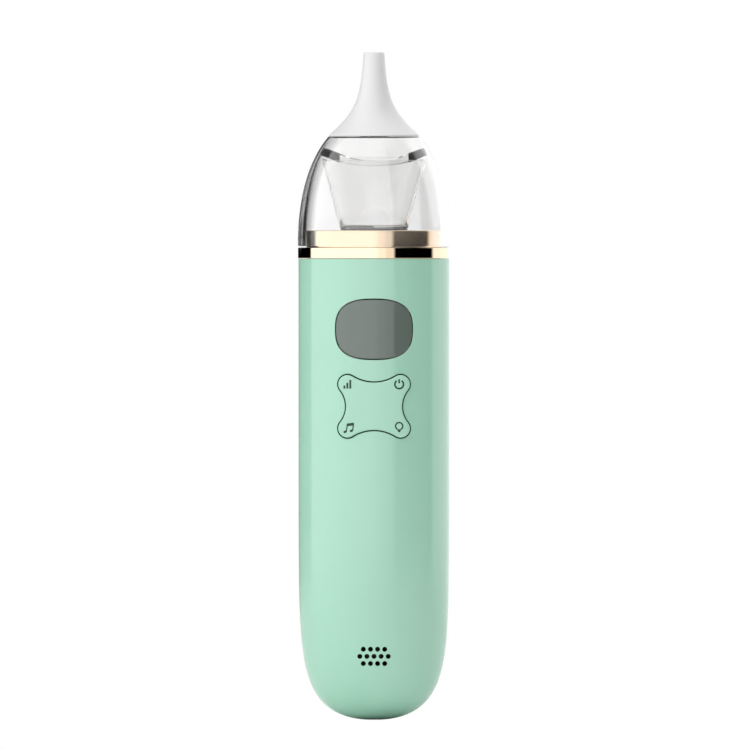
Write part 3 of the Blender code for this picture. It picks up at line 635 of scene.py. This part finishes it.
def key_outline(grow):
    """The key plate's outline, grown: a round lobe at each corner, and a hollow arc between each two."""
    side = waist_radius(LOBE[1], WAIST[0] - LOBE[0])
    top = waist_radius(LOBE[0], WAIST[1] - LOBE[1])
    side_centre = (WAIST[0] + side, 0.0)
    top_centre = (0.0, WAIST[1] + top)
    low = math.atan2(-LOBE[1], side_centre[0] - LOBE[0])
    high = math.atan2(top_centre[1] - LOBE[1], -LOBE[0])
    quarter = list(arc(side_centre, side - grow, math.pi, math.pi + low, 9))[:-1]
    quarter += arc(LOBE, LOBE_RADIUS + grow, low, high, 22)
    quarter += list(arc(top_centre, top - grow, high - math.pi, -math.pi / 2, 9))[1:-1]
    left = [(-x, z) for x, z in quarter[::-1] if z > 1e-6]
    upper = [*quarter, (0.0, WAIST[1] + grow), *left]
    lower = [(x, -z) for x, z in upper[::-1] if z > 1e-6]
    return [*upper, (-WAIST[0] - grow, 0.0), *lower]


def round_box(half, corner, grow=0.0):
    """A rectangle with round corners."""
    points = []
    for index, (right, up) in enumerate(((1, 1), (-1, 1), (-1, -1), (1, -1))):
        centre = (right * (half[0] - corner), up * (half[1] - corner))
        start = index * math.pi / 2
        points += arc(centre, corner + grow, start, start + math.pi / 2, 10)
    return points


def split_sides(outline):
    """The outline with more points on its long sides, so that it can follow the housing's curve."""
    points = []
    for index, point in enumerate(outline):
        before = Vector(outline[index - 1])
        run = Vector(point) - before
        count = max(1, math.ceil(run.length / SIDE_STEP))
        points += [tuple(before + run * (i + 1) / count) for i in range(count)]
    return points


def hole_circle(x):
    """A round hole's outline, with room for its moulded edge."""
    return [(x + px, pz) for px, pz in arc((0, 0), GRILLE_HOLE + EDGE, 0, math.tau, HOLE_POINTS + 1)][:-1]


def inset_outline(outline, distance):
    """The outline moved inwards by a distance, along its own normals."""
    moved = []
    for index, point in enumerate(outline):
        before, after = Vector(outline[index - 1]), Vector(outline[(index + 1) % len(outline)])
        run = (after - before).normalized()
        moved.append((point[0] - run.y * distance, point[1] + run.x * distance))
    return moved


PLATE_RINGS = 10


def plate(name, outline, height, look, spot, thick, fillet):
    """A plate that follows the housing's curve: an outline about a height, with a rounded front edge.

    spot(x, z, depth) gives the point on the plate that far below its face.
    """
    layers = [(0.0, thick), (0.0, fillet)]
    for step in range(1, 6):
        angle = step * math.pi / 10
        layers.append((fillet * (1 - math.cos(angle)), fillet * (1 - math.sin(angle))))
    rows = []
    shape = bmesh.new()
    for inset, depth in layers:
        edge = inset_outline(outline, inset)
        rows.append([shape.verts.new(spot(x, height + z, depth) * MM) for x, z in edge])
    edge = inset_outline(outline, fillet)
    for step in range(1, PLATE_RINGS):
        share = 1 - step / PLATE_RINGS
        rows.append([shape.verts.new(spot(x * share, height + z * share, 0.0) * MM) for x, z in edge])
        row = [spot(x * share, height + z * share, thick) * MM for x, z in outline]
        rows.insert(0, [shape.verts.new(point) for point in row])
    rows.append([shape.verts.new(spot(0.0, height, 0.0) * MM)])
    rows.insert(0, [shape.verts.new(spot(0.0, height, thick) * MM)])
    for upper, lower in zip(rows, rows[1:]):
        join_rows(shape, upper, lower)
    return new_piece(name, shape, look)


# ---------------------------------------------------------------- housing


BELLY_HEIGHTS = [BELLY_END * (i / 60) ** 2 for i in range(61)]


def shell_path():
    """The housing's profile, from the inside of its floor over the top edge to the foot."""
    inner_heights = [WALL + (BELLY_END - WALL) * (i / 16) ** 2.2 for i in range(17)]
    path = [(0.0, WALL)]
    path += [(body_radius(z, WALL), z) for z in inner_heights[1:]]
    top = [
        (body_radius(BELLY_END, WALL), BELLY_END),
        (body_radius(BODY_TOP, WALL), BODY_TOP),
        (BODY_RADIUS, BODY_TOP, EDGE),
        (BODY_RADIUS, BELLY_END),
    ]
    path += rounded(top, closed=False)[1:-1]
    path += [(body_radius(z), z) for z in BELLY_HEIGHTS[::-1]]
    path.append((0.0, 0.0))
    return path


BLOCK_SIZE = (80, 30, 160)  # wide enough to hold the whole housing on one side of its parting plane
BLOCK_Z = 60
CUT_START = 11.0  # a straight cutter goes from here to the outside, through the wall only
CUT_END = 23.0
CUT_ABOVE = 1.5


def half_block(side):
    """Everything on one side of the parting plane, less the width of its moulded edge."""
    width, reach, height = BLOCK_SIZE
    near, far = sorted((side * (SEAM + EDGE), side * reach))
    shape = bmesh.new()
    size = Matrix.Diagonal((*mm(width, far - near, height), 1))
    move = Matrix.Translation(mm(0, (near + far) / 2, BLOCK_Z))
    bmesh.ops.create_cube(shape, size=1, matrix=move @ size)
    return new_piece("half_block", shape, None)


def through_block(outline, height, spot, depth):
    """A cutter through the wall, from above the surface down to a depth."""
    shape = bmesh.new()
    rows = []
    for level in (-CUT_ABOVE, depth):
        rows.append([shape.verts.new(spot(x, height + z, level) * MM) for x, z in outline])
    join_rows(shape, *rows)
    for row in rows:
        shape.faces.new(row)
    return new_piece("through_block", shape, None)


def flat_block(outline, height, side):
    """A straight cutter through the wall, along Y."""
    shape = bmesh.new()
    rows = []
    for y in (CUT_START, CUT_END):
        rows.append([shape.verts.new(mm(x, side * y, height + z)) for x, z in outline])
    join_rows(shape, *rows)
    for row in rows:
        shape.faces.new(row)
    return new_piece("flat_block", shape, None)


def edge_beads(outline, height, side):
    """The rounded edge of an opening, one bead below the surface all round."""
    points = []
    for x, z in outline:
        point = skin_point(x, height + z, 0.0, side)
        points.append(point - skin_normal(point) * EDGE)
    return bead(points, EDGE, True)


def parting_bead(side):
    """The rounded edge that runs down one flank, under the foot and up the other flank."""
    y = side * (SEAM + EDGE)
    flank = []
    for z in (BODY_TOP - EDGE, *BELLY_HEIGHTS[::-1]):
        point = skin_point(body_radius(z), z)
        inward = skin_normal(Vector((point.x, 0, z))) * EDGE
        spot = Vector((point.x, 0, z)) - inward
        flank.append((spot.x, y, spot.z))
    other = [(-x, y, z) for x, y, z in flank[::-1]]
    return bead([*flank, *other], EDGE, False)


def smooth_skin(mesh):
    """Gives every face that lies on the housing's surface that surface's own normals."""
    normals = [Vector(corner.vector) for corner in mesh.corner_normals]
    for face in mesh.polygons:
        centre = face.center / MM
        level = body_radius(min(max(centre.z, 0.0), BODY_TOP))
        if abs(math.hypot(centre.x, centre.y) - level) > SKIN_NEAR or centre.z > BODY_TOP - EDGE:
            continue
        if face.normal.dot(skin_normal(centre)) < SKIN_ALIGNED:
            continue
        for loop in face.loop_indices:
            spot = mesh.vertices[mesh.loops[loop].vertex_index].co / MM
            if spot.z > SKIN_START:
                normals[loop] = skin_normal(spot)
    mesh.normals_split_custom_set(normals)


def add_meshes(piece, meshes):
    """Joins the beads to a shell."""
    shape = bmesh.new()
    shape.from_mesh(piece.data)
    for mesh in meshes:
        shape.from_mesh(mesh)
        bpy.data.meshes.remove(mesh)
    look = piece.data.materials[0]
    mesh = bpy.data.meshes.new(piece.name)
    shape.to_mesh(mesh)
    shape.free()
    mesh.materials.append(look)
    smooth(mesh)
    piece.data = mesh


def grille_spots():
    for row, count in enumerate(GRILLE_ROWS):
        for index in range(count):
            x = (index - (count - 1) / 2) * GRILLE_PITCH
            yield x, GRILLE_Z + (1 - row) * GRILLE_PITCH


def rear_spot(x, z, depth):
    return skin_point(x, z, depth, 1)


def flap_spot(x, z, depth):
    return skin_point(x, z, depth + FLAP_SINK, 1)


def build_front_shell(look):
    shell = lathe("front_shell_skin", shell_path(), look)
    boolean(shell, [half_block(-1)], "INTERSECT")
    key_grow = KEY_TRIM + KEY_GAP + KEY_CLEARANCE + EDGE
    openings = [(squircle(WINDOW_GAP + EDGE), WINDOW_Z), (key_outline(key_grow), KEY_Z)]
    openings += [(hole_circle(x), z) for x, z in grille_spots()]
    boolean(shell, [flat_block(outline, z, -1) for outline, z in openings])
    beads = [edge_beads(outline, z, -1) for outline, z in openings]
    add_meshes(shell, [*beads, parting_bead(-1)])
    smooth_skin(shell.data)
    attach(shell, "housing")
    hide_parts("front_shell")


def build_rear_shell(look):
    shell = lathe("rear_shell_skin", shell_path(), look)
    boolean(shell, [half_block(1)], "INTERSECT")
    rim = round_box(FLAP_HALF, FLAP_CORNER, FLAP_GAP + EDGE)
    recess = through_block(rim, FLAP_Z, rear_spot, FLAP_THICK + FLAP_LEDGE)
    port = round_box(PORT_HALF, PORT_CORNER)
    tools = [recess, flat_block(port, FLAP_Z, 1)]
    beads = [edge_beads(split_sides(rim), FLAP_Z, 1)]
    for index in range(OUTLET_COUNT):
        x = (index - (OUTLET_COUNT - 1) / 2) * OUTLET_PITCH
        outline = hole_circle(x)
        tools.append(flat_block(outline, OUTLET_Z, 1))
        beads.append(edge_beads(outline, OUTLET_Z, 1))
    boolean(shell, tools)
    add_meshes(shell, [*beads, parting_bead(1)])
    smooth_skin(shell.data)
    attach(shell, "housing")
    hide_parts("rear_shell")


def build_flap(look):
    outline = split_sides(round_box(FLAP_HALF, FLAP_CORNER))
    flap = plate("port_flap", outline, FLAP_Z, look, flap_spot, FLAP_THICK, FLAP_FILLET)
    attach(flap, "port_flap")
    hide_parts("port_cover")


def face_spot(face, curve=None):
    """Places points below a face that stands that far forward and curves to that radius."""
    curve = curve or face

    def spot(x, z, depth):
        return Vector((x, curve - face - math.sqrt((curve - depth) ** 2 - x**2), z))

    return spot


def build_window(look):
    outline = squircle(WINDOW_TRIM)
    spot = face_spot(BODY_RADIUS - WINDOW_SINK)
    window = plate("display_window", outline, WINDOW_Z, look, spot, WINDOW_THICK, WINDOW_FILLET)
    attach(window, "housing")
    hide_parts("lcd_window")


def build_key_plate(look):
    outline = key_outline(KEY_TRIM)
    spot = face_spot(KEY_FACE, KEY_CURVE)
    keys = plate("lobed_keys", outline, KEY_Z, look, spot, KEY_THICK, KEY_FILLET)
    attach(keys, "key_pad")
    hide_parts("key_plate")


# ---------------------------------------------------------------- key symbols

ICON_LINE = 0.21
ICON_LIFT = 0.03
ICON_THICK = 0.06
NOTE_HEAD = 0.42  # its radius, how flat it is, how far it leans, and its outline's points
NOTE_SQUASH = 0.75
NOTE_LEAN = math.radians(20)
NOTE_POINTS = 20

icon_spot = face_spot(KEY_FACE + ICON_LIFT, KEY_CURVE + ICON_LIFT)


def icon_stroke(shape, points, width=ICON_LINE):
    """A printed line of the given half width, as a flat ribbon on the key plate."""
    left, right = [], []
    for index, (x, z) in enumerate(points):
        before = points[max(index - 1, 0)]
        after = points[min(index + 1, len(points) - 1)]
        run = Vector((after[0] - before[0], after[1] - before[1])).normalized()
        left.append(shape.verts.new(icon_spot(x - run.y * width, z + run.x * width, 0) * MM))
        right.append(shape.verts.new(icon_spot(x + run.y * width, z - run.x * width, 0) * MM))
    for index in range(len(points) - 1):
        shape.faces.new((left[index], left[index + 1], right[index + 1], right[index]))


def note_head(shape, x, z):
    """The round end of a printed note."""
    verts = []
    for px, pz in arc((0, 0), NOTE_HEAD, 0, math.tau * (1 - 1 / NOTE_POINTS), NOTE_POINTS):
        pz *= NOTE_SQUASH
        across = px * math.cos(NOTE_LEAN) - pz * math.sin(NOTE_LEAN)
        up = px * math.sin(NOTE_LEAN) + pz * math.cos(NOTE_LEAN)
        verts.append(shape.verts.new(icon_spot(x + across, z + up, 0) * MM))
    shape.faces.new(verts)


def power_icon(shape, x, z):
    ring = arc((x, z), 1.1, math.radians(125), math.radians(415), 28)
    icon_stroke(shape, list(ring))
    icon_stroke(shape, [(x, z + 1.3), (x, z + 0.25)])


def level_icon(shape, x, z):
    for index, tall in enumerate((0.8, 1.5, 2.2)):
        spot = x + (index - 1) * 0.75
        icon_stroke(shape, [(spot, z - 1.1), (spot, z - 1.1 + tall)], 0.24)


def music_icon(shape, x, z):
    for across, low in ((-0.85, -0.9), (0.75, -0.65)):
        note_head(shape, x + across - 0.25, z + low)
        icon_stroke(shape, [(x + across + 0.08, z + low), (x + across + 0.33, z + low + 1.9)], 0.15)
    icon_stroke(shape, [(x - 0.58, z + 0.85), (x + 1.17, z + 1.1)], 0.36)


def bulb_icon(shape, x, z):
    ring = arc((x, z + 0.15), 0.92, math.radians(-62), math.radians(242), 28)
    icon_stroke(shape, list(ring), 0.18)
    icon_stroke(shape, [(x - 0.45, z - 0.82), (x + 0.45, z - 0.82)], 0.17)
    icon_stroke(shape, [(x - 0.3, z - 1.18), (x + 0.3, z - 1.18)], 0.17)


def print_icons(look):
    spots = {
        "level": (level_icon, -6.8, 5.6),
        "power": (power_icon, 6.4, 5.6),
        "music": (music_icon, -6.3, -5.6),
        "light": (bulb_icon, 6.4, -5.2),
    }
    for name, (draw, x, z) in spots.items():
        shape = bmesh.new()
        draw(shape, x, KEY_Z + z)
        for face in shape.faces:
            face.normal_update()
            if face.normal.y > 0:
                face.normal_flip()
        bmesh.ops.solidify(shape, geom=shape.faces, thickness=ICON_THICK * MM)
        mesh = bpy.data.meshes.new(f"{name}_icon")
        shape.to_mesh(mesh)
        shape.free()
        mesh.materials.append(look)
        icon = bpy.data.objects.new(f"{name}_icon", mesh)
        bpy.context.scene.collection.objects.link(icon)
        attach(icon, "key_pad")


# ---------------------------------------------------------------- collar, seat and head


def build_collar(gold, rubber, frosted):
    low, high = FLANGE
    top = COLLAR_HIGH.z + BOSS_LIFT
    corners = [
        (COLLAR_BORE, COLLAR_LOW.z, 0.1),
        (COLLAR_BORE, SEAT_LEDGE, 0.1),
        (SEAT_RADIUS, SEAT_LEDGE, 0.1),
        (SEAT_RADIUS, top, 0.15),
        (BOSS_RADIUS, top, 0.2),
        (BOSS_RADIUS, high, 0.15),
        (GROOVE[0], high, 0.05),
        (GROOVE[0], high - GROOVE_DEPTH, 0.05),
        (GROOVE[1], high - GROOVE_DEPTH, 0.05),
        (GROOVE[1], high, 0.05),
        (FLANGE_RADIUS, high, 0.12),
        (FLANGE_RADIUS, low, 0.12),
        (SKIRT_RADIUS, low, 0.1),
        (SKIRT_RADIUS, COLLAR_LOW.z, 0.3),
    ]
    collar = lathe("collar_ring", rounded(corners), gold)
    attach(collar, "housing")
    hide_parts("gold_collar")

    low, high = node_box("dome_gasket")
    inner, outer = high.x - GASKET_WIDTH, high.x
    corners = [(inner, low.z, 0.1), (inner, high.z, 0.2), (outer, high.z, 0.2), (outer, low.z, 0.1)]
    gasket = lathe("gasket_ring", rounded(corners), rubber, SMALL_STEPS)
    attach(gasket, "housing")
    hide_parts("dome_gasket")

    low, high = node_box("seat_plate")
    corners = [(0, high.z), (high.x, high.z, 0.3), (high.x, low.z, 0.2), (0, low.z)]
    seat = lathe("seat_disc", rounded(corners, closed=False), frosted, SMALL_STEPS)
    vents = []
    for index in range(VENT_COUNT):
        angle = math.radians(VENT_START + 360 / VENT_COUNT * index)
        x, y = VENT_CIRCLE * math.cos(angle), VENT_CIRCLE * math.sin(angle)
        shape = bmesh.new()
        move = Matrix.Translation(mm(x, y, high.z - 1.5))
        size = {"radius1": VENT_RADIUS * MM, "radius2": VENT_RADIUS * MM, "depth": 8 * MM}
        bmesh.ops.create_cone(shape, cap_ends=True, segments=28, matrix=move, **size)
        vents.append(new_piece("vent", shape, None))
    boolean(seat, vents)
    smooth(seat.data)
    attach(seat, "housing")
    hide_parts("seat_plate")


def dome_outer(z):
    """The dome's outside radius at a height."""
    return DOME_RADIUS * (1 - (max(z - DOME_START, 0.0) / DOME_HEIGHT) ** DOME_POWER) ** (1 / DOME_POWER)


def dome_inner(z):
    radius, height = DOME_INNER
    share = (max(z - DOME_START, 0.0) / height) ** DOME_POWER
    return radius * (1 - share) ** (1 / DOME_POWER)


def build_dome(look):
    low = RIM_Z + 2
    inner = [low + (CEILING_Z - low) * i / 40 for i in range(40)]
    outer = [SHOULDER_Z + (low - SHOULDER_Z) * (i + 1) / 44 for i in range(44)]
    corners = [(dome_inner(RIM_Z), RIM_Z, 0.15)]
    corners += [(dome_inner(z), z) for z in inner]
    corners += [
        (dome_inner(CEILING_Z), CEILING_Z, 0.3),
        (STUB_BORE, CEILING_Z, 0.2),
        (STUB_BORE, STUB_TOP, 0.15),
        (STUB_RADIUS, STUB_TOP, 0.3),
        (STUB_RADIUS, SHOULDER_Z, 0.25),
        (dome_outer(SHOULDER_Z), SHOULDER_Z, 0.2),
    ]
    corners += [(dome_outer(z), z) for z in outer]
    corners.append((dome_outer(RIM_Z), RIM_Z, 0.15))
    dome = lathe("clear_dome", rounded(corners), look, sharp=60)
    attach(dome, "dome")
    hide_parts("dome_cover")


def bar_edge(across, table):
    """The height of the bar's top or bottom face that far from the middle."""
    for (near, low), (far, high) in zip(table, table[1:]):
        if across <= far:
            break
    return low + (high - low) * (across - near) / (far - near)


def build_bar_piece(name, look, slot, start, end, count, lean=(0.0, 0.0)):
    """A length of the sagging bar, with its long edges rounded. The lean slants its two ends."""
    shape = bmesh.new()
    rows = []
    for index in range(count + 1):
        share = index / count
        x = start + (end - start) * share
        slant = lean[0] * (1 - share) + lean[1] * share
        low, high = bar_edge(abs(x - slant), BAR_BOTTOM), bar_edge(abs(x + slant), BAR_TOP)
        wide = min(BAR_HALF, math.sqrt(BAR_REACH**2 - x**2))
        rim = bar_rim(wide, (low + high) / 2, (high - low) / 2)
        row = []
        for y, z in rim:
            level = (z - low) / (high - low) * 2 - 1
            row.append(shape.verts.new(mm(x + slant * level, y, z)))
        rows.append(row)
    for upper, lower in zip(rows, rows[1:]):
        join_rows(shape, upper, lower)
    shape.faces.new(rows[0])
    shape.faces.new(rows[-1])
    piece = new_piece(name, shape, look, 50)
    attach(piece, "dome")
    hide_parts("splash_bar")


def bar_rim(wide, middle, half):
    """The bar's cross-section, round its edges."""
    return [(y, middle + z) for y, z in round_box((wide, half), BAR_CORNER)]


def build_splash_bar(clear, smoked):
    build_bar_piece("bar_middle", clear, "clear_plastic", -BAR_ARM, BAR_ARM, 32)
    # The arms get the dark look that paints shade, though the real bar is clear all along.
    for name, side in (("left", -1), ("right", 1)):
        ends = (side * BAR_ARM, side * BAR_END)
        build_bar_piece(f"bar_{name}_arm", smoked, "clear_plastic", *ends, 8, (0.0, -side * BAR_LEAN))


def build_cup(look, dark):
    low, high = CUP_RADII
    bottom, top = CUP_LOW.z, CUP_HIGH.z
    corners = [
        (0, bottom + CUP_FLOOR),
        (low - CUP_WALL + 0.1, bottom + CUP_FLOOR, 0.8),
        (high - CUP_RIM, top, 0.12),
        (high, top, 0.12),
        (low, bottom, 0.9),
        (0, bottom),
    ]
    cup = lathe("clear_cup", rounded(corners, closed=False, segments=8), look, sharp=60)
    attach(cup, "head_cup")
    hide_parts("collection_cup")
    # A thin dark ring inside the foot paints the shade of the dark line that the clear foot shows.
    inner, outer = (low - edge for edge in CUP_RING)
    sides = (bottom - CUP_RING_HALF, bottom + CUP_RING_HALF)
    corners = [
        (inner, sides[0], 0.05),
        (inner, sides[1], 0.05),
        (outer, sides[1], 0.05),
        (outer, sides[0], 0.05),
    ]
    foot = lathe("cup_foot_painted_shade_ring", rounded(corners), dark, SMALL_STEPS)
    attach(foot, "head_cup")
    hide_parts("collection_cup")


def build_tip(look):
    """The tip's flank is one curve from its outlet down to its base."""
    top, base = TIP_HIGH.z, TIP_LOW.z
    ends = ((TIP_OUTLET, top - 0.3), *TIP_BENDS, (TIP_HIGH.x, base + 0.3))
    outline = []
    for index in range(41):
        t = index / 40
        shares = ((1 - t) ** 3, 3 * t * (1 - t) ** 2, 3 * t * t * (1 - t), t**3)
        radius = sum(share * end[0] for share, end in zip(shares, ends))
        outline.append((radius, sum(share * end[1] for share, end in zip(shares, ends))))
    socket = STUB_RADIUS + TIP_ROOM
    corners = [
        (socket, base, 0.2),
        (socket, STUB_TOP + TIP_ROOM, 0.2),
        (TIP_BORE, STUB_TOP + TIP_THROAT, 0.5),
        (TIP_BORE, top, 0.3),
        (TIP_OUTLET - 0.05, top, 0.35),
        *outline[1:-1],
        (*outline[-1], 0.25),
        (TIP_HIGH.x - 0.15, base, 0.1),
    ]
    tip = lathe("soft_tip", rounded(corners), look, sharp=60)
    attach(tip, "tip")
    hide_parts("nozzle_tip")


# ---------------------------------------------------------------- build it

look_from_front()
light_studio()
LOOKS = make_materials()
lay_floor()
paint_cad_nodes(LOOKS)
build_front_shell(LOOKS["mint"])
build_rear_shell(LOOKS["mint"])
build_flap(LOOKS["mint"])
build_window(LOOKS["window"])
build_key_plate(LOOKS["mint"])
print_icons(LOOKS["icon"])
build_collar(LOOKS["gold"], LOOKS["rubber"], LOOKS["frosted"])
build_dome(LOOKS["clear"])
# The bar's arms and the cup's foot ring take the dark look that paints shade.
build_splash_bar(LOOKS["faint"], LOOKS["smoked"])
build_cup(LOOKS["thin"], LOOKS["smoked"])
build_tip(LOOKS["silicone"])
